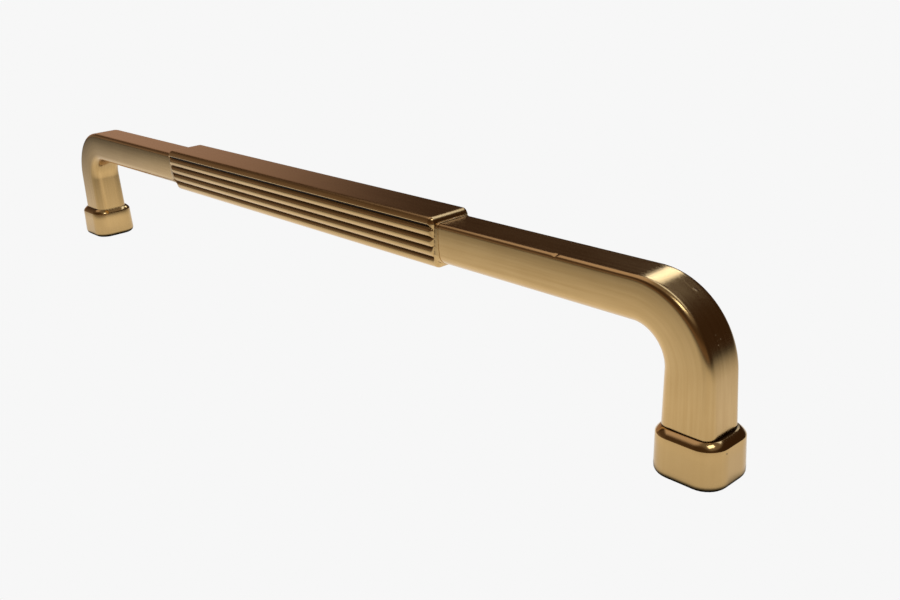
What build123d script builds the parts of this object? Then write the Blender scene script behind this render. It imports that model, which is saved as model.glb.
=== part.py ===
from build123d import *
import math
import os

# Cabinet pull, cast in one piece
# A soft-cornered bar carries a reeded grip at its middle. At each end it turns down into a leg
# that grows towards its foot, and each leg stands in a collar, a rounded oblong with a polished
# shoulder. A blind hole in each foot takes the fixing screw.
# Millimetres. X runs along the bar and Z stands out from the door. Z = 0 is the door's face.

# Overall
hole_spacing = 256.0
bar_stand_off = 38.2        # outer face of the bar above the door

# Bar section: flat outer face, sides that bulge, bottom corners much rounder than the top ones
bar_height = 9.7
bar_top_width = 9.4         # between the sharp top corners, before rounding
bar_bottom_width = 9.0
bar_side_bulge = 0.4
bar_top_corner = 1.1
bar_bottom_corner = 2.6

# Bends and legs
bend_radius = 12.4          # on the centre line
leg_inset = 0.6             # centre line of a leg, inboard of its hole
leg_depth_growth = 2.8      # along X, from the bar's section to the foot
leg_width_growth = 1.1      # across Y, from the bar's section to the foot
leg_side_bulge = 0.15
leg_outer_corner = 2.3
leg_inner_corner = 3.1

# Foot collars
foot_rim_length = 3.2       # length of a collar, past the depth of its leg
foot_rim_width = 3.8        # width of a collar, past the width of its leg
foot_height = 10.0
foot_taper = 1.5            # degrees, narrower towards the top
foot_corner = 4.8
foot_shoulder = 1.35        # radius round the top edge
foot_edge = 1.6             # radius round the bottom edge
leg_seat_depth = 3.0        # how far a leg runs down inside its collar

# Grip, given by how far it stands proud of the bar
grip_length = 121.8
grip_rise = 1.35            # above the bar's outer face
grip_drop = 1.3             # below the bar's inner face
grip_proud = 1.0            # each side, past the bar's widest
grip_side_radius = 33.0     # curve of the sides, from the cap down to the underside
grip_cap_corner = 1.5
grip_bottom_corner = 1.5
grip_end_round = 1.45

# Reeds along each side of the grip
cap_depth = 1.95            # smooth band of the cap, above the first groove
reed_count = 3              # full reeds, above the last one that rolls under
last_reed_share = 1.0       # how much of a reed is left for the last one
reed_depth = 0.75
lip_undercut = 0.2
groove_rim = 1.55           # smooth rim left between the grooves' tips and the grip's end
groove_run_out = 0.9        # length over which a groove rises to its tip

# Stepped neck at each end of the grip
neck_length = 1.0
neck_rise = 0.35
neck_edge = 0.3

# Fixing holes
hole_radius = 1.65          # tapping size of an M4 thread
hole_depth = 15.0
hole_mouth = 0.5            # bevel at the mouth
drill_point = 31.0          # degrees, slope of the hole's drilled end

# What follows from the sizes above
foot_x = hole_spacing / 2
leg_x = foot_x - leg_inset
bend_x = leg_x - bend_radius
bar_z = bar_stand_off - bar_height / 2
bar_width = (bar_top_width + bar_bottom_width) / 2 + 2 * bar_side_bulge
leg_depth = bar_height + leg_depth_growth
leg_outer_width = bar_top_width + leg_width_growth
leg_inner_width = bar_bottom_width + leg_width_growth
foot_length = leg_depth + foot_rim_length
foot_width = leg_outer_width + foot_rim_width
grip_height = grip_rise + bar_height + grip_drop
grip_width = bar_width + 2 * grip_proud
grip_z = bar_stand_off + grip_rise - grip_height / 2
groove_tip_x = grip_length / 2 - groove_rim
side_length = grip_side_radius * math.asin((grip_height - cap_depth) / grip_side_radius)
reed_pitch = (side_length - lip_undercut) / (reed_count + last_reed_share)


def soft_section(top_width, bottom_width, height, bulge, top_corner, bottom_corner):
    """Section of the casting, drawn across Y with its outer face up."""
    top = height / 2
    outline = [
        Line((-top_width / 2, top), (top_width / 2, top)),
        SagittaArc((top_width / 2, top), (bottom_width / 2, -top), bulge),
        Line((bottom_width / 2, -top), (-bottom_width / 2, -top)),
        SagittaArc((-bottom_width / 2, -top), (-top_width / 2, top), bulge),
    ]
    section = make_face(outline)
    section = fillet(section.vertices().group_by(Axis.Y)[-1], top_corner)
    return fillet(section.vertices().group_by(Axis.Y)[0], bottom_corner)


def bar_section(grow=0.0):
    """Section of the bar, or of something that stands evenly proud of it."""
    return soft_section(
        bar_top_width + 2 * grow,
        bar_bottom_width + 2 * grow,
        bar_height + 2 * grow,
        bar_side_bulge,
        bar_top_corner + grow,
        bar_bottom_corner + grow,
    )


def straight_bar():
    """The right-hand bar, from inside the grip's rim to the bend."""
    start = Plane((groove_tip_x, 0, bar_z), x_dir=(0, 1, 0), z_dir=(1, 0, 0))
    return extrude(start * bar_section(), bend_x - groove_tip_x)


def bend_and_leg():
    """The right-hand bend and leg: one sweep whose section grows from the bar to the foot."""
    turn_z = bar_z - bend_radius
    seat_z = foot_height - leg_seat_depth
    turn = Plane.XZ * CenterArc((bend_x, turn_z), bend_radius, 90, -90)
    drop = Line((leg_x, 0, turn_z), (leg_x, 0, seat_z))
    leg_section = soft_section(
        leg_outer_width,
        leg_inner_width,
        leg_depth,
        leg_side_bulge,
        leg_outer_corner,
        leg_inner_corner,
    )
    bar_end = Plane((bend_x, 0, bar_z), x_dir=(0, 1, 0), z_dir=(1, 0, 0)) * bar_section()
    leg_end = Plane((leg_x, 0, seat_z), x_dir=(0, 1, 0), z_dir=(0, 0, -1)) * leg_section
    return sweep([bar_end, leg_end], path=Wire([turn, drop]), multisection=True)


def foot_collar():
    """The right-hand collar, tapering up to a rounded shoulder."""
    inset = foot_height * math.tan(math.radians(foot_taper))
    bottom = Pos(foot_x, 0, 0) * RectangleRounded(foot_length, foot_width, foot_corner)
    top = Pos(foot_x, 0, foot_height) * RectangleRounded(
        foot_length - 2 * inset, foot_width - 2 * inset, foot_corner - inset
    )
    collar = loft([bottom, top])
    collar = fillet(collar.edges().group_by(Axis.Z)[-1], foot_shoulder)
    return fillet(collar.edges().group_by(Axis.Z)[0], foot_edge)


def grip_side_point(depth, along):
    """A point some depth under the side of the grip, at a distance along its curve below the cap."""
    angle = along / grip_side_radius
    radius = grip_side_radius - depth
    across = grip_width / 2 - grip_side_radius + radius * math.cos(angle)
    return across, grip_height / 2 - cap_depth - radius * math.sin(angle)


def grip_plane(x):
    """Plane across the grip at x, with the grip's middle as its origin."""
    return Plane((x, 0, grip_z), x_dir=(0, 1, 0), z_dir=(1, 0, 0))


def grip_section():
    """Section of the grip before its reeds are cut."""
    top = grip_height / 2
    shoulder = (grip_width / 2, top)
    lip = grip_side_point(0, 0)
    middle = grip_side_point(0, side_length / 2)
    keel = grip_side_point(0, side_length)
    half = [
        Line((0, top), shoulder),
        Line(shoulder, lip),
        ThreePointArc(lip, middle, keel),
        Line(keel, (0, -top)),
    ]
    section = make_face(half + [mirror(edge, about=Plane.YZ) for edge in half])
    section = fillet(section.vertices().group_by(Axis.Y)[-1].filter_by(is_off_centre), grip_cap_corner)
    return fillet(section.vertices().group_by(Axis.Y)[0].filter_by(is_off_centre), grip_bottom_corner)


def grip_blank():
    """The grip before its reeds are cut, with rounded ends."""
    blank = extrude(grip_plane(-grip_length / 2) * grip_section(), grip_length)
    ends = blank.faces().sort_by(Axis.X)
    return fillet(ends[0].edges() + ends[-1].edges(), grip_end_round)


def is_off_centre(vertex):
    """True for a vertex that doesn't lie on the section's own centre line."""
    return abs(vertex.X) > bar_top_corner


def reed_comb():
    """A bar whose sides are the reeds: what it has in common with the blank is the grip."""
    clear = grip_end_round
    top = grip_height / 2 + clear
    lip = Vector(*grip_side_point(0, 0))
    first_groove = Vector(*grip_side_point(reed_depth, lip_undercut))
    flank_start = lip + (lip - first_groove) * (clear / reed_depth)
    outline = [Line((0, top), (flank_start.X, top)), Line((flank_start.X, top), flank_start)]
    outline += [Line(flank_start, first_groove)]
    for reed in range(reed_count):
        start = lip_undercut + reed * reed_pitch
        outline += [
            ThreePointArc(
                grip_side_point(reed_depth, start),
                grip_side_point(0, start + reed_pitch / 2),
                grip_side_point(reed_depth, start + reed_pitch),
            )
        ]
    last_groove = lip_undercut + reed_count * reed_pitch
    last_crest = last_groove + reed_pitch / 2
    slope = last_crest / grip_side_radius
    down = Vector(-math.sin(slope), -math.cos(slope))
    crest = Vector(*grip_side_point(0, last_crest))
    below = crest + down * grip_height / 2
    outline += [
        TangentArc(crest, grip_side_point(reed_depth, last_groove), tangent=-down),
        Line(crest, below),
        Line(below, (0, below.Y)),
    ]
    section = make_face(outline + [mirror(edge, about=Plane.YZ) for edge in outline])
    half_length = grip_length / 2 + clear
    return extrude(grip_plane(-half_length) * section, 2 * half_length)


def groove_ends():
    """What closes the right-hand ends of the grooves: a slope up to their tips, then the rim."""
    section = grip_plane(groove_tip_x) * grip_section()
    slope = math.degrees(math.atan(reed_depth / groove_run_out))
    return extrude(section, -groove_run_out, taper=slope) + extrude(section, groove_rim)


def reeded_grip():
    """The grip with its reeds, which end short of its rounded ends."""
    ends = groove_ends()
    return grip_blank() & (reed_comb() + ends + mirror(ends, about=Plane.YZ))


def grip_neck():
    """The step on the bar at the grip's right-hand end."""
    start = Plane((groove_tip_x, 0, bar_z), x_dir=(0, 1, 0), z_dir=(1, 0, 0))
    neck = extrude(start * bar_section(neck_rise), groove_rim + neck_length)
    return fillet(neck.faces().sort_by(Axis.X)[-1].edges(), neck_edge)


def fixing_hole():
    """What is cut from the right-hand foot: a blind hole with a drilled end and a bevelled mouth."""
    tip = hole_depth + hole_radius * math.tan(math.radians(drill_point))
    half = Polyline(
        (0, 0),
        (hole_radius + hole_mouth, 0),
        (hole_radius, hole_mouth),
        (hole_radius, hole_depth),
        (0, tip),
        (0, 0),
    )
    drill = revolve(Plane.XZ * make_face(half), Axis.Z)
    return Pos(foot_x, 0, 0) * drill


def handle_casting():
    """The whole pull."""
    end = grip_neck() + straight_bar() + bend_and_leg() + foot_collar()
    casting = reeded_grip() + end + mirror(end, about=Plane.YZ)
    hole = fixing_hole()
    return casting - hole - mirror(hole, about=Plane.YZ)


if __name__ == "__main__":
    os.makedirs("parts", exist_ok=True)
    export_step(handle_casting(), "parts/handle_casting.step")
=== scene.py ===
import math

import bmesh
import bpy
from mathutils import Matrix, Vector


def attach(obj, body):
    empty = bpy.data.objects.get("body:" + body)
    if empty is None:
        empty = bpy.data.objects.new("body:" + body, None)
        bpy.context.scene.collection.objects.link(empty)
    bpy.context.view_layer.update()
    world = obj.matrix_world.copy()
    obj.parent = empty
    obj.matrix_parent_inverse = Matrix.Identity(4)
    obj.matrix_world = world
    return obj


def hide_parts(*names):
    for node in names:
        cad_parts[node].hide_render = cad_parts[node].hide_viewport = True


# Reeded cabinet pull in satin brass, standing on a pale floor as it would on a table.
# Metres, in the part's own frame: X runs along the bar, Z stands out from the door.

# The photograph's camera: turns in degrees, focal length and middle of the lens in pixels
PHOTO_WIDTH = 900
PHOTO_HEIGHT = 600
SENSOR_WIDTH = 36.0
CAMERA_PLACE = (0.22262, -0.14362, 0.1004)
CAMERA_YAW = 48.19
CAMERA_PITCH = 20.705
CAMERA_ROLL = -3.105
CAMERA_FOCAL = 1001.86
CAMERA_MIDDLE = (458.64, 300.02)

MM = 0.001

# Driving sizes in millimetres, the same as the part's source
HOLE_SPACING = 256.0
BAR_STAND_OFF = 38.2
BAR_HEIGHT = 9.7
BAR_TOP_WIDTH = 9.4
BAR_BOTTOM_WIDTH = 9.0
BAR_BULGE = 0.4
BAR_TOP_CORNER = 1.1
BAR_BOTTOM_CORNER = 2.6
BEND_RADIUS = 12.4
LEG_INSET = 0.6
LEG_DEPTH_GROWTH = 2.8
LEG_WIDTH_GROWTH = 1.1
LEG_BULGE = 0.15
LEG_OUTER_CORNER = 2.3
LEG_INNER_CORNER = 3.1
LEG_SEAT_DEPTH = 3.0
FOOT_RIM_LENGTH = 3.2
FOOT_RIM_WIDTH = 3.8
FOOT_HEIGHT = 10.0
FOOT_TAPER = math.tan(math.radians(1.5))
FOOT_CORNER = 4.8
FOOT_SHOULDER = 1.35
FOOT_EDGE = 1.6
GRIP_LENGTH = 121.8
GRIP_RISE = 1.35
GRIP_DROP = 1.3
GRIP_PROUD = 1.0
GRIP_SIDE_RADIUS = 33.0
GRIP_BOTTOM_CORNER = 1.5
GRIP_END_ROUND = 1.45
REED_COUNT = 3
LAST_REED = 1.0
REED_DEPTH = 0.75
NECK_LENGTH = 1.0
HOLE_RADIUS = 1.65
HOLE_DEPTH = 15.0
HOLE_MOUTH = 0.5
DRILL_POINT = math.tan(math.radians(31.0))

# Details drawn finer than in the part's source, in millimetres
GRIP_CAP_CORNER = 1.1
GRIP_CAP_SLOPE = math.radians(25)
CAP_DEPTH = 1.35
LIP_ROUND = 0.4
FIRST_GROOVE = 0.85
NECK_RISE = 0.15
NECK_EDGE = 0.1
LEDGE_FLATNESS = 1.6
THREAD_PITCH = 0.7
THREAD_DEPTH = 0.36
GROOVE_BLEND = 0.06

# Painted shade, with some tarnish: 0 to 1 where one form enters another, and its reach in
# millimetres round a groove
NECK_SHADE = 0.8
RIM_SHADE = 0.6
LEDGE_SHADE = [1.0, 0.75]
RECESS_SHADE_REACH = 0.45

# Flaws of the finish, and painted glints among the pale specks: place and radius in millimetres,
# and how plainly each one shows
DENT = (96.2, -4.25, 38.05)
DENT_REACH = 1.6
DENT_SLANT = 0.8
DENT_DEPTH = 0.16
DENT_LIP = 0.05
# Pale dust specks; the last three are painted glints over small nicks, at the neck and on a
# collar's shoulder
PALE_SPECKS_AND_PAINTED_GLINTS = (
    (124.4, 1.9, 35.75, 0.5, 0.22),
    (124.8, 2.0, 35.5, 0.4, 0.25),
    (130.75, -0.65, 29.2, 0.2, 0.35),
    (131.25, 0.25, 28.3, 0.16, 0.35),
    (131.55, -0.95, 27.6, 0.18, 0.35),
    (131.25, -0.85, 28.25, 0.14, 0.2),
    (61.25, 0.5, 38.4, 0.35, 1.0),
    (126.7, -6.4, 9.75, 0.25, 0.8),
    (124.8, -6.3, 9.8, 0.22, 0.8),
)
DARK_SPECKS = (
    (135.6, -2.8, 7.9, 0.2, 1.0),
    (133.6, 1.5, 10.3, 0.16, 1.0),
    (133.6, 1.5, 10.7, 0.12, 1.0),
)

# Places that follow from the sizes
FOOT_X = HOLE_SPACING / 2
LEG_X = FOOT_X - LEG_INSET
BEND_X = LEG_X - BEND_RADIUS
LEG_DEPTH = BAR_HEIGHT + LEG_DEPTH_GROWTH
LEG_OUTER_WIDTH = BAR_TOP_WIDTH + LEG_WIDTH_GROWTH
LEG_INNER_WIDTH = BAR_BOTTOM_WIDTH + LEG_WIDTH_GROWTH
FOOT_LENGTH = LEG_DEPTH + FOOT_RIM_LENGTH
FOOT_WIDTH = LEG_OUTER_WIDTH + FOOT_RIM_WIDTH
BAR_WIDTH = (BAR_TOP_WIDTH + BAR_BOTTOM_WIDTH) / 2 + 2 * BAR_BULGE
GRIP_HEIGHT = GRIP_RISE + BAR_HEIGHT + GRIP_DROP
GRIP_WIDTH = BAR_WIDTH + 2 * GRIP_PROUD
BAR_Z = BAR_STAND_OFF - BAR_HEIGHT / 2
GRIP_OUT = (GRIP_RISE - GRIP_DROP) / 2
GRIP_HALF = GRIP_LENGTH / 2
GRIP_SHOULDER = GRIP_HALF - GRIP_END_ROUND
NECK_END = GRIP_HALF + NECK_LENGTH
BEND_LENGTH = BEND_RADIUS * math.pi / 2
TURN_Z = BAR_Z - BEND_RADIUS
COLLAR_SHOULDER = FOOT_HEIGHT - FOOT_SHOULDER

# Divisions of the mesh
FLAT_STEPS = 8
CORNER_STEPS = 8
BAND_STEPS = 2
LIP_STEPS = 10
REED_STEPS = 12
LAST_REED_STEPS = 6
INNER_FLAT_STEPS = 6
BEND_STEPS = 40
ROUND_STEPS = 14
DENT_STEPS = 32
LEG_STEPS = 4
COLLAR_STEPS = 3
FOOT_EDGE_STEPS = 8
NECK_EDGE_STEPS = 3
THREAD_STEPS = 6
BORE_SEGMENTS = 48
GRIP_ROWS = (4.0, 1.0, 0.0)
RIM_ROWS = (0.3, 0.12)
SEAM = 1e-7
WELD = 2e-6
SHARP_ANGLE = 48


def evenly(start, end, steps):
    """Values from start to end, without start itself."""
    return [start + (end - start) * (step + 1) / steps for step in range(steps)]


class Outline:
    """Half of a section, walked by length from its outer middle round to its inner middle."""

    def __init__(self, pieces):
        self.pieces = pieces
        self.marks = [0.0]
        for piece in pieces:
            self.marks.append(self.marks[-1] + self.length_of(piece))

    @staticmethod
    def length_of(piece):
        if piece[0] == "line":
            return (piece[2] - piece[1]).length
        return piece[2] * (piece[3] - piece[4])

    def at(self, walked):
        """The point at that length, and the outward normal there."""
        walked = min(max(walked, 0.0), self.marks[-1])
        number = next(
            (n for n, mark in enumerate(self.marks[1:]) if walked <= mark), len(self.pieces) - 1
        )
        piece = self.pieces[number]
        share = (walked - self.marks[number]) / (self.marks[number + 1] - self.marks[number])
        if piece[0] == "line":
            heading = (piece[2] - piece[1]).normalized()
            return piece[1].lerp(piece[2], share), Vector((-heading.y, heading.x))
        angle = piece[3] + (piece[4] - piece[3]) * share
        normal = Vector((math.cos(angle), math.sin(angle)))
        return piece[1] + normal * piece[2], normal

    def nearest(self, point, guess, reach=3.0):
        """The length at which the outline comes nearest to a point inside it."""
        low, high = guess - reach, guess + reach
        for _ in range(40):
            middle = (low + high) / 2
            spot, normal = self.at(middle)
            ahead = (point - spot).dot(Vector((normal.y, -normal.x)))
            if ahead > 0:
                low = middle
            else:
                high = middle
        return min(max((low + high) / 2, 0.0), self.marks[-1])


def round_corner(side_centre, side_radius, out, radius, sign):
    """Centre of the corner between a flat at that height and the side's arc, and its angle."""
    height = out - sign * radius
    reach = side_radius - radius
    across = side_centre.x + math.sqrt(reach**2 - (height - side_centre.y) ** 2)
    centre = Vector((across, height))
    angle = math.atan2(height - side_centre.y, across - side_centre.x)
    return centre, angle


def soft_outline(top_width, bottom_width, height, bulge, top_corner, bottom_corner):
    """The bar's kind of section: flat outside, bulging sides, rounder inner corners."""
    top = height / 2
    upper = Vector((top_width / 2, top))
    lower = Vector((bottom_width / 2, -top))
    chord = lower - upper
    radius = (chord.length**2 / 4 + bulge**2) / (2 * bulge)
    outward = Vector((-chord.y, chord.x)).normalized()
    centre = (upper + lower) / 2 - outward * (radius - bulge)
    first, first_angle = round_corner(centre, radius, top, top_corner, 1)
    last, last_angle = round_corner(centre, radius, -top, bottom_corner, -1)
    quarter = math.pi / 2
    return Outline(
        [
            ("line", Vector((0, top)), Vector((first.x, top))),
            ("arc", first, top_corner, quarter, first_angle),
            ("arc", centre, radius, first_angle, last_angle),
            ("arc", last, bottom_corner, last_angle, -quarter),
            ("line", Vector((last.x, -top)), Vector((0, -top))),
        ]
    )


def grip_outline():
    """The grip before its reeds: a cap with a short sloping band, then the long curve."""
    top = GRIP_OUT + GRIP_HEIGHT / 2
    bottom = GRIP_OUT - GRIP_HEIGHT / 2
    side = GRIP_WIDTH / 2
    slope, radius = GRIP_CAP_SLOPE, GRIP_CAP_CORNER
    reach = (radius - (radius - CAP_DEPTH) * math.sin(slope)) / math.cos(slope)
    corner = Vector((side - reach, top - radius))
    foot = corner + Vector((math.cos(slope), math.sin(slope))) * radius
    centre = Vector((side - GRIP_SIDE_RADIUS, top - CAP_DEPTH))
    last, last_angle = round_corner(centre, GRIP_SIDE_RADIUS, bottom, GRIP_BOTTOM_CORNER, -1)
    quarter = math.pi / 2
    return Outline(
        [
            ("line", Vector((0, top)), Vector((corner.x, top))),
            ("arc", corner, radius, quarter, slope),
            ("line", foot, Vector((side, centre.y))),
            ("arc", centre, GRIP_SIDE_RADIUS, 0.0, last_angle),
            ("arc", last, GRIP_BOTTOM_CORNER, last_angle, -quarter),
            ("line", Vector((last.x, bottom)), Vector((0, bottom))),
        ]
    )


def collar_outline(height, inset):
    """The foot collar at some height, drawn in by the inset."""
    inset += height * FOOT_TAPER
    out = FOOT_LENGTH / 2 - inset
    side = FOOT_WIDTH / 2 - inset
    corner = FOOT_CORNER - inset
    middle = Vector((0, LEG_INSET))
    quarter = math.pi / 2
    outer = middle + Vector((side - corner, out - corner))
    inner = middle + Vector((side - corner, corner - out))
    return Outline(
        [
            ("line", middle + Vector((0, out)), middle + Vector((side - corner, out))),
            ("arc", outer, corner, quarter, 0.0),
            ("line", middle + Vector((side, out - corner)), middle + Vector((side, corner - out))),
            ("arc", inner, corner, 0.0, -quarter),
            ("line", middle + Vector((side - corner, -out)), middle + Vector((0, -out))),
        ]
    )


SIDE_LENGTH = GRIP_SIDE_RADIUS * math.asin((GRIP_HEIGHT - CAP_DEPTH) / GRIP_SIDE_RADIUS)
REED_PITCH = (SIDE_LENGTH - FIRST_GROOVE) / (REED_COUNT + LAST_REED)
REED_ROUND = (REED_PITCH**2 / 4 + REED_DEPTH**2) / (2 * REED_DEPTH)
REED_ANGLE = math.asin(REED_PITCH / 2 / REED_ROUND)


def groove_depth(below_lip):
    """How deep the reeded side lies under the grip's plain outline, below the lip."""
    if below_lip < LIP_ROUND:
        return REED_DEPTH * (1 - math.sqrt(1 - (max(below_lip, 0.0) / LIP_ROUND) ** 2))
    if below_lip < FIRST_GROOVE:
        return REED_DEPTH
    reed = min(int((below_lip - FIRST_GROOVE) / REED_PITCH + SEAM), REED_COUNT)
    from_crest = below_lip - FIRST_GROOVE - (reed + 0.5) * REED_PITCH
    if reed == REED_COUNT and from_crest > 0:
        return 0.0
    return REED_ROUND - math.sqrt(REED_ROUND**2 - from_crest**2)


def reed_places(side_end):
    """Where the side is divided, as lengths below the lip: close together round each reed."""
    places = [LIP_ROUND * math.sin(angle) for angle in evenly(0.0, math.pi / 2, LIP_STEPS)]
    places += evenly(LIP_ROUND, FIRST_GROOVE, BAND_STEPS)
    for reed in range(REED_COUNT):
        crest = FIRST_GROOVE + (reed + 0.5) * REED_PITCH
        places += [
            crest + REED_ROUND * math.sin(angle)
            for angle in evenly(-REED_ANGLE, REED_ANGLE, REED_STEPS)
        ]
    return places + evenly(FIRST_GROOVE + REED_COUNT * REED_PITCH, side_end, LAST_REED_STEPS)


GRIP = grip_outline()
BAR = soft_outline(
    BAR_TOP_WIDTH, BAR_BOTTOM_WIDTH, BAR_HEIGHT, BAR_BULGE, BAR_TOP_CORNER, BAR_BOTTOM_CORNER
)
LEG = soft_outline(
    LEG_OUTER_WIDTH, LEG_INNER_WIDTH, LEG_DEPTH, LEG_BULGE, LEG_OUTER_CORNER, LEG_INNER_CORNER
)


def grip_stations():
    """Lengths round the grip's outline at which each lengthwise line of the mesh runs."""
    marks = GRIP.marks
    lip = marks[3]
    places = [0.0] + evenly(0.0, marks[1], FLAT_STEPS) + evenly(marks[1], marks[2], CORNER_STEPS)
    places += evenly(marks[2], lip, BAND_STEPS)
    places += [lip + below for below in reed_places(marks[4] - lip)]
    places += evenly(marks[4], marks[5], CORNER_STEPS)
    return places + evenly(marks[5], marks[6], INNER_FLAT_STEPS)


GRIP_PLACES = grip_stations()
SIDE_SHARES = [
    (place - GRIP.marks[2]) / (GRIP.marks[4] - GRIP.marks[2])
    for place in GRIP_PLACES
    if GRIP.marks[2] + SEAM < place <= GRIP.marks[4] + SEAM
]


def stations(outline):
    """The same lines of the mesh on an outline with five parts."""
    marks = outline.marks
    places = [0.0] + evenly(0.0, marks[1], FLAT_STEPS) + evenly(marks[1], marks[2], CORNER_STEPS)
    places += [marks[2] + (marks[3] - marks[2]) * share for share in SIDE_SHARES]
    places += evenly(marks[3], marks[4], CORNER_STEPS)
    return places + evenly(marks[4], marks[5], INNER_FLAT_STEPS)


def bar_points(grow=0.0):
    found = [BAR.at(place) for place in stations(BAR)]
    return [point + normal * grow for point, normal in found]


def leg_points():
    return [LEG.at(place)[0] for place in stations(LEG)]


def place_on_path(along, point):
    """From straightened coordinates to the part's frame, in metres."""
    if along <= BEND_X:
        middle, outward = (along, BAR_Z), (0.0, 1.0)
    elif along <= BEND_X + BEND_LENGTH:
        turned = (along - BEND_X) / BEND_RADIUS
        outward = (math.sin(turned), math.cos(turned))
        middle = (BEND_X + BEND_RADIUS * outward[0], TURN_Z + BEND_RADIUS * outward[1])
    else:
        outward = (1.0, 0.0)
        middle = (LEG_X, TURN_Z - (along - BEND_X - BEND_LENGTH))
    return (
        Vector((middle[0] + outward[0] * point.y, point.x, middle[1] + outward[1] * point.y)) * MM
    )


def along_at(height):
    """Length along the path at a height on the leg."""
    return BEND_X + BEND_LENGTH + TURN_Z - height


def soft_min(first, second, blend):
    """The smaller of two depths, eased where they cross."""
    near = max(blend - abs(first - second), 0.0) / blend
    return min(first, second) - near**2 * blend / 4


def round_over(outline, places, inner, radius, flatness=1.0, grooves=None):
    """Rows that round an end over, from its outline in to the inner points.

    Each row holds a point, the height that the round has climbed there, and how far a groove
    still lies under it. Flatness 1 is a quarter circle and 2 a plain bevel."""
    grooves = grooves or [0.0] * len(places)
    rows = []
    feet = [outline.nearest(spot, place) for spot, place in zip(inner, places)]
    depths = [(outline.at(foot)[0] - spot).length for foot, spot in zip(feet, inner)]
    for share in evenly(0.0, 1.0, ROUND_STEPS):
        row = []
        for place, foot, depth, groove in zip(places, feet, depths, grooves):
            turned = share * math.acos((1 - min(depth, radius) / radius) ** (1 / flatness))
            spot, normal = outline.at(place + (foot - place) * share**2)
            inset = radius * (1 - math.cos(turned) ** flatness)
            left = groove + (min(groove, depth) - groove) * share
            sunk = -soft_min(-inset, -left, GROOVE_BLEND) if left > 0 else inset
            row.append((spot - normal * sunk, radius * math.sin(turned) ** flatness, sunk - inset))
        rows.append(row)
    rows.append([(spot, height, 0.0) for spot, (_, height, _) in zip(inner, rows[-1])])
    return rows


def painted_recess_shade(place, groove):
    """How much painted shade, with some tarnish, a recess gets: darkest under the cap's lip and in
    the first groove.
    """
    below = place - GRIP.marks[3] - FIRST_GROOVE
    return max(groove / REED_DEPTH, min(1.0 - below / RECESS_SHADE_REACH, groove / RECESS_SHADE_REACH), 0.0)


def groove_depth_at(place):
    """Groove depth at a length round the grip's outline."""
    lip, corner = GRIP.marks[3], GRIP.marks[4]
    if place <= lip:
        return 0.0
    past = max(place - corner, 0.0)
    rolled = past**2 * (1 / GRIP_BOTTOM_CORNER - 1 / GRIP_SIDE_RADIUS) / 2
    if past > GRIP_BOTTOM_CORNER / 2:
        return 0.0
    return max(groove_depth(place - lip) - rolled, 0.0)


def level_row(along, points, recess=0.0):
    """A row that lies straight across the path, with the same recess all round."""
    return [(along, point, recess) for point in points]


def grip_rows():
    """The reeded half of the grip, and its rounded end, which runs in to the neck."""
    places = GRIP_PLACES
    plain = [GRIP.at(place) for place in places]
    grooves = [groove_depth_at(place) for place in places]
    # Painted shade, with some tarnish, in the grooves and under the lip
    dark = [painted_recess_shade(place, groove) for place, groove in zip(places, grooves)]
    rows = []
    for along in [0.0] + [GRIP_SHOULDER - before for before in GRIP_ROWS]:
        rows.append(
            [
                (along, point - normal * groove, shade)
                for (point, normal), groove, shade in zip(plain, grooves, dark)
            ]
        )
    for row in round_over(GRIP, places, bar_points(NECK_RISE), GRIP_END_ROUND, 1.0, grooves):
        rows.append(
            [
                (GRIP_SHOULDER + up, point, shade * left / max(groove, SEAM))
                for (point, up, left), groove, shade in zip(row, grooves, dark)
            ]
        )
    # Painted shade where the grip's end meets the neck
    rows[-1] = [(along, point, NECK_SHADE) for along, point, _ in rows[-1]]
    return rows


def neck_rows():
    """The step beside the grip, with its small rounded edge."""
    rows = []
    for angle in [0.0] + evenly(0.0, math.pi / 2, NECK_EDGE_STEPS):
        grow = NECK_RISE - NECK_EDGE * (1 - math.cos(angle))
        along = NECK_END - NECK_EDGE + NECK_EDGE * math.sin(angle)
        rows.append(level_row(along, bar_points(grow)))
    return rows


def bar_rows():
    """The bar from the neck to the bend, divided closely round the dent."""
    around_dent = evenly(DENT[0] - DENT_REACH, DENT[0] + DENT_REACH, DENT_STEPS)
    bar = bar_points()
    return [level_row(along, bar) for along in [NECK_END] + around_dent + [BEND_X]]


def growing_points(along):
    """The section between the bar's and the leg's, at a length past the start of the bend."""
    share = (along - BEND_X) / (along_at(FOOT_HEIGHT - LEG_SEAT_DEPTH) - BEND_X)
    return [first.lerp(second, share) for first, second in zip(bar_points(), leg_points())]


def bend_and_leg_rows():
    """The bend and the leg, down to the line of painted shade where the leg enters its collar."""
    rim = along_at(FOOT_HEIGHT)
    leg_end, last = (rim - above for above in RIM_ROWS)
    turn = evenly(BEND_X, BEND_X + BEND_LENGTH, BEND_STEPS)
    turn += evenly(BEND_X + BEND_LENGTH, leg_end, LEG_STEPS)
    rows = [level_row(along, growing_points(along)) for along in turn]
    # Painted shade on the last row, where the leg enters its collar
    return rows + [level_row(last, growing_points(last), RIM_SHADE)]


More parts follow.
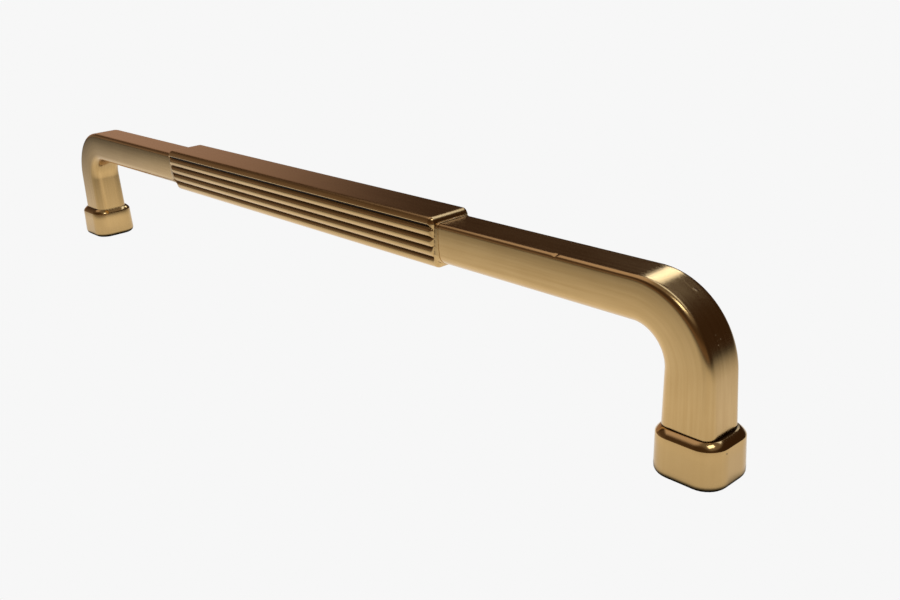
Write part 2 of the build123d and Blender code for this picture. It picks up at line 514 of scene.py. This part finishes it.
def collar_rows():
    """The collar: its ledge round the leg, its shoulder, its side and its bottom edge."""
    top = collar_outline(COLLAR_SHOULDER, 0.0)
    start = along_at(COLLAR_SHOULDER)
    entry = growing_points(along_at(FOOT_HEIGHT))
    ledge = reversed(round_over(top, stations(top), entry, FOOT_SHOULDER, LEDGE_FLATNESS))
    rows = []
    # Painted shade on the ledge's first rows, round the leg
    for recess, row in zip(LEDGE_SHADE + [0.0] * ROUND_STEPS, ledge):
        rows.append([(start - up, point, recess) for point, up, _ in row])
    levels = [
        (height, 0.0)
        for height in [COLLAR_SHOULDER] + evenly(COLLAR_SHOULDER, FOOT_EDGE, COLLAR_STEPS)
    ]
    levels += [
        (FOOT_EDGE * (1 - math.sin(angle)), FOOT_EDGE * (1 - math.cos(angle)))
        for angle in evenly(0.0, math.pi / 2, FOOT_EDGE_STEPS)
    ]
    for height, inset in levels:
        outline = collar_outline(height, inset)
        points = [outline.at(place)[0] for place in stations(outline)]
        rows.append(level_row(along_at(height), points))
    return rows


def all_rows():
    """Every row of the mesh, from the grip's middle to the foot.

    A row holds, for each station, the length along the path, the point across it, and how much
    of a recess it is, from 0 to 1, which the finish paints as shade."""
    return grip_rows() + neck_rows() + bar_rows() + bend_and_leg_rows() + collar_rows()


def grow_ring(shell, ring):
    """Extrudes a ring of edges and gives the new ring and its vertices."""
    made = bmesh.ops.extrude_edge_only(shell, edges=ring)["geom"]
    edges = [item for item in made if isinstance(item, bmesh.types.BMEdge)]
    vertices = [item for item in made if isinstance(item, bmesh.types.BMVert)]
    inner = set(vertices)
    return [edge for edge in edges if all(vertex in inner for vertex in edge.verts)], vertices


def foot_bore(shell, middle):
    """The blind threaded hole in one foot, from the foot's flat inwards."""
    rim = [
        edge
        for edge in shell.edges
        if edge.is_boundary and (edge.verts[0].co.x > 0) == (middle > 0)
    ]
    centre = Matrix.Translation((middle * MM, 0, 0))
    mouth = bmesh.ops.create_circle(
        shell, segments=BORE_SEGMENTS, radius=(HOLE_RADIUS + HOLE_MOUTH) * MM, matrix=centre
    )
    ring = list(dict.fromkeys(edge for vertex in mouth["verts"] for edge in vertex.link_edges))
    bmesh.ops.bridge_loops(shell, edges=rim + ring)
    turns = (HOLE_DEPTH - HOLE_MOUTH) / THREAD_PITCH
    heights = [HOLE_MOUTH] + evenly(HOLE_MOUTH, HOLE_DEPTH, round(turns * THREAD_STEPS))
    for height in heights:
        ring, grown = grow_ring(shell, ring)
        fade = min(height - HOLE_MOUTH, HOLE_DEPTH - height, THREAD_PITCH) / THREAD_PITCH
        for vertex in grown:
            angle = math.atan2(vertex.co.y, vertex.co.x - middle * MM)
            phase = height / THREAD_PITCH * 2 * math.pi - angle
            cut = THREAD_DEPTH * fade * (1 + math.cos(phase)) / 2
            radius = (HOLE_RADIUS + cut) * MM
            vertex.co = (
                middle * MM + radius * math.cos(angle),
                radius * math.sin(angle),
                height * MM,
            )
    ring, grown = grow_ring(shell, ring)
    tip = Vector((middle * MM, 0, (HOLE_DEPTH + HOLE_RADIUS * DRILL_POINT) * MM))
    bmesh.ops.pointmerge(shell, verts=grown, merge_co=tip)


def dent_edge(shell):
    """The knock on the bar's front edge: a short hollow with a raised lip on its upper side."""
    centre = Vector(DENT) * MM
    for vertex in shell.verts:
        off = (vertex.co - centre) / MM
        if abs(off.x) < DENT_REACH and off.length < 2 * DENT_REACH:
            slant = off.x - DENT_SLANT * off.y
            hollow = math.exp(-((slant / 0.5) ** 2) - (off.y / 0.35) ** 2)
            lip = math.exp(-(((slant - 0.3) / 0.35) ** 2) - ((off.y - 0.42) / 0.16) ** 2)
            vertex.co.z -= (DENT_DEPTH * hollow - DENT_LIP * lip) * MM


def pull_mesh():
    """The whole casting: a quarter laid on its rows, mirrored twice, then its two bores."""
    rows = all_rows()
    columns = len(rows[0])
    shell = bmesh.new()
    straight = shell.verts.layers.float_vector.new("straightened")
    # recess: how much painted shade, with some tarnish, the finish gives each vertex
    recessed = shell.verts.layers.float.new("recess")
    bmesh.ops.create_grid(shell, x_segments=columns - 1, y_segments=len(rows) - 1, size=1)
    shell.verts.ensure_lookup_table()
    for number, row in enumerate(rows):
        for station, (along, point, recess) in enumerate(row):
            vertex = shell.verts[number * columns + station]
            vertex.co = place_on_path(along, point)
            vertex[straight] = Vector((along, point.x, point.y)) * MM
            vertex[recessed] = recess
    for axis in "YX":
        bmesh.ops.mirror(
            shell,
            geom=shell.verts[:] + shell.edges[:] + shell.faces[:],
            matrix=Matrix.Identity(4),
            merge_dist=SEAM,
            axis=axis,
        )
    bmesh.ops.remove_doubles(shell, verts=shell.verts, dist=WELD)
    for vertex in shell.verts:
        length, across, out = vertex[straight]
        length = math.copysign(length, vertex.co.x)
        vertex[straight] = (length, math.copysign(across, vertex.co.y), out)
    dent_edge(shell)
    for middle in (FOOT_X, -FOOT_X):
        foot_bore(shell, middle)
    bmesh.ops.recalc_face_normals(shell, faces=shell.faces)
    mesh = bpy.data.meshes.new("pull")
    shell.to_mesh(mesh)
    shell.free()
    for face in mesh.polygons:
        face.use_smooth = True
    mesh.set_sharp_from_angle(angle=math.radians(SHARP_ANGLE))
    return mesh


# The finish: its tones, its brushing and clouding per metre, and heights on the foot in metres
BRASS_DEEP = (0.415, 0.258, 0.098, 1.0)
BRASS_PALE = (0.57, 0.385, 0.172, 1.0)
# Painted shade, with some tarnish, in the recesses; also the tone of the pits
SHADE_AND_TARNISH = (0.014, 0.007, 0.003, 1.0)
# Tone of the pale dust and of the painted glints
DUST_AND_PAINTED_GLINT_TONE = (0.80, 0.70, 0.55, 1.0)
BRUSHING_SCALE = (45.0, 1500.0, 1500.0)
CLOUDING_SCALE = 110.0
RELIEF = 1.1e-5
SPECK_CORE = 0.3
POLISH_STARTS = (0.0084, 0.0089)
POLISH_ENDS = (0.0100, 0.0101)
BRUSHED_ABOVE = (0.0099, 0.0101)

# The studio's own tones, with the floor's painted pool of light and painted shadow round the feet
PAPER = 0.93
FLOOR_SIZE = 8.0
FLOOR_FADE = 0.118
CONTACT_SHADE = (-0.0004, 0.0030)
SOFT_SHADE = (0.0, 0.03)
# A brighter patch of painted light on the floor's glow
PAINTED_LIGHT_PATCH = (0.27, -0.12, 0.0)
PAINTED_LIGHT_PATCH_EDGE = (0.16, 0.04)
LAMP_TONE = (0.84, 0.93, 1.0)
ROOM_BEYOND = (0.056, 0.031, 0.018, 1.0)
ROOM_NEAR = (0.09, 0.055, 0.033, 1.0)
ROOM_NEAR_LOW = (0.24, 0.155, 0.10, 1.0)
ROOM_LEFT = (0.13, 0.09, 0.067, 1.0)
ROOM_LEFT_LOW = (0.30, 0.225, 0.18, 1.0)
PALE_WALL = (0.54, 0.35, 0.25, 1.0)
CEILING_LEFT = (0.8, 0.68, 0.66, 1.0)
CEILING_RIGHT = (0.27, 0.23, 0.2, 1.0)
WINDOW = (1.7, 2.0, 2.6, 1.0)
WALL_HEADING = Vector((-0.96, 0.27, 0.05)).normalized()

# Where each part of the room starts and is full, along a heading's own axis
LOW_DOWN = (0.45, 0.08)
FAR_LEFT = (-0.4, -0.7)
THIS_SIDE = (0.1, -0.3)
ON_THE_WALL = (0.885, 1.0)
OVERHEAD = (0.62, 0.74)
OVERHEAD_DEPTH = (-0.6, -0.35)
CEILING_TURN = (-0.4, -0.1)
WINDOW_HEIGHT = (0.71, 0.77)
WINDOW_DEPTH = (0.42, 0.54)

# The lamps: place from the near bend, size in metres and watts
NEAR_BEND = Vector((0.124, 0, 0.035))
LAMPS = (
    ("beyond", Vector((-0.375, 0.77, 0.512)) * 1.5, (0.3, 0.3), 1.1),
    ("overhead", Vector((0.4, -0.15, 0.9)) * 1.2, (0.5, 0.3), 2.0),
)


class Socket:
    """A node's output with operators, so that shader maths reads as a formula."""

    def __init__(self, graph, link):
        self.graph = graph
        self.link = link

    def __add__(self, other):
        return self.graph.maths("ADD", self, other)

    def __radd__(self, other):
        return self.graph.maths("ADD", other, self)

    def __sub__(self, other):
        return self.graph.maths("SUBTRACT", self, other)

    def __rsub__(self, other):
        return self.graph.maths("SUBTRACT", other, self)

    def __mul__(self, other):
        return self.graph.maths("MULTIPLY", self, other)

    def __rmul__(self, other):
        return self.graph.maths("MULTIPLY", other, self)

    def __truediv__(self, other):
        return self.graph.maths("DIVIDE", self, other)

    def __rtruediv__(self, other):
        return self.graph.maths("DIVIDE", other, self)

    def __abs__(self):
        return self.graph.maths("ABSOLUTE", self)


class Graph:
    """The nodes of a material or of the studio, each made by one call."""

    def __init__(self, owner):
        owner.use_nodes = True
        self.tree = owner.node_tree
        self.tree.nodes.clear()

    def node(self, kind, settings=None, inputs=None, output=0):
        made = self.tree.nodes.new("ShaderNode" + kind)
        for name, value in (settings or {}).items():
            setattr(made, name, value)
        for name, value in (inputs or {}).items():
            if isinstance(value, Socket):
                self.tree.links.new(value.link, made.inputs[name])
            else:
                made.inputs[name].default_value = value
        return Socket(self, made.outputs[output]) if made.outputs else None

    def maths(self, operation, *values):
        return self.node("Math", {"operation": operation}, dict(enumerate(values)))

    def vector_maths(self, operation, first, second, output=0):
        return self.node("VectorMath", {"operation": operation}, {0: first, 1: second}, output)

    def step(self, value, start, end):
        """0 up to the start and 1 from the end on, eased between them."""
        settings = {"interpolation_type": "SMOOTHSTEP"}
        return self.node("MapRange", settings, {"Value": value, "From Min": start, "From Max": end})

    def mix_colour(self, share, first, second):
        inputs = {"Factor": share, 6: first, 7: second}
        return self.node("Mix", {"data_type": "RGBA"}, inputs, 2)


def specks(graph, place, spots):
    """1 on the small flaws of the finish and on painted glints, and 0 elsewhere."""
    total = 0.0
    for x, y, z, radius, share in spots:
        away = graph.vector_maths("DISTANCE", place, Vector((x, y, z)) * MM, "Value")
        total = total + share * graph.step(away, radius * MM, radius * SPECK_CORE * MM)
    return total


def satin_brass():
    """Satin brass finish: brushed along the bar and legs, polished on the collars' shoulders, with
    painted shade in its recesses and painted glints at a few pale specks.
    """
    material = bpy.data.materials.new("satin_brass")
    graph = Graph(material)
    place = graph.node("TexCoord", None, None, "Object")
    height = graph.vector_maths("DOT_PRODUCT", place, (0, 0, 1), "Value")
    straight = graph.node("Attribute", {"attribute_name": "straightened"}, None, "Vector")
    recess = graph.node("Attribute", {"attribute_name": "recess"}, None, "Fac")
    brushed = graph.node("Mapping", None, {"Vector": straight, "Scale": BRUSHING_SCALE})
    streaks = graph.node("TexNoise", None, {"Vector": brushed, "Scale": 1.0, "Detail": 4.0})
    cloudy = graph.node("TexNoise", None, {"Vector": place, "Scale": CLOUDING_SCALE, "Detail": 3.0})
    polish = graph.step(height, *POLISH_STARTS) - graph.step(height, *POLISH_ENDS)
    pale, dark = specks(graph, place, PALE_SPECKS_AND_PAINTED_GLINTS), specks(graph, place, DARK_SPECKS)
    brushing = (streaks - 0.5) * (0.3 + 0.7 * graph.step(height, *BRUSHED_ABOVE))
    tone = graph.mix_colour(0.25 + cloudy * 0.5 + brushing * 0.9, BRASS_DEEP, BRASS_PALE)
    # Painted shade, with some tarnish, in the recesses
    tone = graph.mix_colour(recess * recess * 0.95, tone, SHADE_AND_TARNISH)
    tone = graph.mix_colour(dark * 0.85, tone, SHADE_AND_TARNISH)
    # Pale dust, and painted glints at the last three pale specks
    tone = graph.mix_colour(pale * 0.7, tone, DUST_AND_PAINTED_GLINT_TONE)
    rough = 0.195 + brushing * 0.12 + cloudy * 0.03 - polish * 0.07 + recess * 0.1
    relief = brushing * 0.8 + cloudy * 0.6 + pale * 6.0 - dark * 6.0
    normal = graph.node("Bump", None, {"Height": relief, "Strength": 1.0, "Distance": RELIEF})
    shader = graph.node(
        "BsdfPrincipled",
        None,
        {"Base Color": tone, "Metallic": 1.0 - pale * 0.4, "Roughness": rough, "Normal": normal},
    )
    graph.node("OutputMaterial", None, {"Surface": shader})
    return material


def pale_floor():
    """A pale sheet: even to the eye; to reflections it glows as a painted pool of light round the
    pull, with painted shadow where the feet touch it.
    """
    material = bpy.data.materials.new("pale_floor")
    graph = Graph(material)
    place = graph.node("TexCoord", None, None, "Object")
    parts = graph.node("SeparateXYZ", None, {"Vector": place})
    side = Socket(graph, parts.link.node.outputs["Y"])
    past_foot = graph.maths("MAXIMUM", abs(parts) - FOOT_X * MM, 0.0)
    away = past_foot * past_foot + side * side
    # Painted pool of light: the glow fades away from the pull, and is brighter in a patch
    spread = 1.2 / (1.0 + graph.maths("POWER", away, 0.75) * (1 / FLOOR_FADE**1.5))
    lamp = graph.vector_maths("DISTANCE", place, PAINTED_LIGHT_PATCH, "Value")
    spread = spread * (1.0 + 0.6 * graph.step(lamp, *PAINTED_LIGHT_PATCH_EDGE))
    end_flat = (FOOT_LENGTH / 2 - FOOT_CORNER) * MM
    side_flat = (FOOT_WIDTH / 2 - FOOT_CORNER) * MM
    off_end = graph.maths("MAXIMUM", abs(abs(parts) - FOOT_X * MM) - end_flat, 0.0)
    off_side = graph.maths("MAXIMUM", abs(side) - side_flat, 0.0)
    gap = graph.maths("SQRT", off_end * off_end + off_side * off_side) - FOOT_CORNER * MM
    # Painted shadow round the feet
    shade = graph.step(gap, *CONTACT_SHADE) * (0.78 + 0.22 * graph.step(gap, *SOFT_SHADE))
    lit = spread * shade
    seen = graph.node("LightPath", None, None, "Is Camera Ray")
    glow = graph.node("Emission", None, {"Color": lit + seen * (PAPER - lit), "Strength": 1.0})
    clear = graph.node("BsdfTransparent")
    below = graph.node("NewGeometry", None, None, "Backfacing")
    surface = graph.node("MixShader", None, {"Fac": below, 1: glow, 2: clear})
    graph.node("OutputMaterial", None, {"Surface": surface})
    return material


def add_floor():
    bpy.ops.mesh.primitive_plane_add(size=FLOOR_SIZE, location=(0, 0, 0))
    floor = bpy.context.active_object
    floor.name = "floor"
    floor.data.materials.append(pale_floor())


def area_light(name, place, aim, size, power):
    data = bpy.data.lights.new(name, "AREA")
    data.shape = "RECTANGLE"
    data.size, data.size_y = size
    data.energy = power
    data.color = LAMP_TONE
    lamp = bpy.data.objects.new(name, data)
    bpy.context.scene.collection.objects.link(lamp)
    lamp.location = place
    lamp.rotation_euler = (aim - place).to_track_quat("-Z", "Y").to_euler()


def add_light():
    """A dim warm room: a pale wall at the far left, a window beyond and two soft lamps."""
    world = bpy.data.worlds.new("studio")
    bpy.context.scene.world = world
    graph = Graph(world)
    heading = graph.node("TexCoord", None, None, "Generated")
    wall = graph.vector_maths("DOT_PRODUCT", heading, WALL_HEADING, "Value")
    side = graph.vector_maths("DOT_PRODUCT", heading, (1, 0, 0), "Value")
    depth = graph.vector_maths("DOT_PRODUCT", heading, (0, 1, 0), "Value")
    height = graph.vector_maths("DOT_PRODUCT", heading, (0, 0, 1), "Value")
    low = graph.step(height, *LOW_DOWN)
    near = graph.mix_colour(low, ROOM_NEAR, ROOM_NEAR_LOW)
    left = graph.mix_colour(low, ROOM_LEFT, ROOM_LEFT_LOW)
    near = graph.mix_colour(graph.step(side, *FAR_LEFT), near, left)
    room = graph.mix_colour(graph.step(depth, *THIS_SIDE), ROOM_BEYOND, near)
    room = graph.mix_colour(graph.step(wall, *ON_THE_WALL), room, PALE_WALL)
    overhead = graph.step(height, *OVERHEAD) * graph.step(depth, *OVERHEAD_DEPTH)
    ceiling = graph.mix_colour(graph.step(side, *CEILING_TURN), CEILING_LEFT, CEILING_RIGHT)
    room = graph.mix_colour(overhead, room, ceiling)
    window = graph.step(height, *WINDOW_HEIGHT) * graph.step(depth, *WINDOW_DEPTH)
    room = graph.mix_colour(window, room, WINDOW)
    seen = graph.node("LightPath", None, None, "Is Camera Ray")
    colour = graph.mix_colour(seen, room, (PAPER, PAPER, PAPER, 1.0))
    glow = graph.node("Background", None, {"Color": colour})
    graph.node("OutputWorld", None, {"Surface": glow})
    for name, from_bend, size, power in LAMPS:
        area_light(name, NEAR_BEND + from_bend, NEAR_BEND, size, power)


def add_camera():
    yaw, pitch, roll = (math.radians(turn) for turn in (CAMERA_YAW, CAMERA_PITCH, CAMERA_ROLL))
    forward = Vector(
        (-math.sin(yaw) * math.cos(pitch), math.cos(yaw) * math.cos(pitch), -math.sin(pitch))
    )
    right = Vector((math.cos(yaw), math.sin(yaw), 0))
    up = right.cross(forward)
    across = right * math.cos(roll) + up * math.sin(roll)
    above = up * math.cos(roll) - right * math.sin(roll)
    data = bpy.data.cameras.new("camera")
    data.sensor_width = SENSOR_WIDTH
    data.lens = CAMERA_FOCAL * SENSOR_WIDTH / PHOTO_WIDTH
    data.shift_x = (PHOTO_WIDTH / 2 - CAMERA_MIDDLE[0]) / PHOTO_WIDTH
    data.shift_y = (CAMERA_MIDDLE[1] - PHOTO_HEIGHT / 2) / PHOTO_WIDTH
    data.clip_start, data.clip_end = 0.01, 50
    camera = bpy.data.objects.new("camera", data)
    bpy.context.scene.collection.objects.link(camera)
    turn = Matrix((across, above, -forward)).transposed()
    camera.matrix_world = Matrix.Translation(CAMERA_PLACE) @ turn.to_4x4()
    bpy.context.scene.camera = camera


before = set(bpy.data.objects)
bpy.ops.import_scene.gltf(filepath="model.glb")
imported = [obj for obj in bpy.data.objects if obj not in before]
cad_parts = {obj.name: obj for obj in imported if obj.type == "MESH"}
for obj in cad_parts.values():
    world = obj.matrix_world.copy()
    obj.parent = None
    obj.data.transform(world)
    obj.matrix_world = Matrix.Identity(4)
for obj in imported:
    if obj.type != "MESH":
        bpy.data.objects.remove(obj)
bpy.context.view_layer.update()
brass = satin_brass()
pull = bpy.data.objects.new("pull", pull_mesh())
bpy.context.scene.collection.objects.link(pull)
pull.data.materials.append(brass)
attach(pull, "root")
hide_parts("handle_casting")
add_floor()
add_light()
add_camera()
bpy.context.scene.view_settings.view_transform = "Standard"
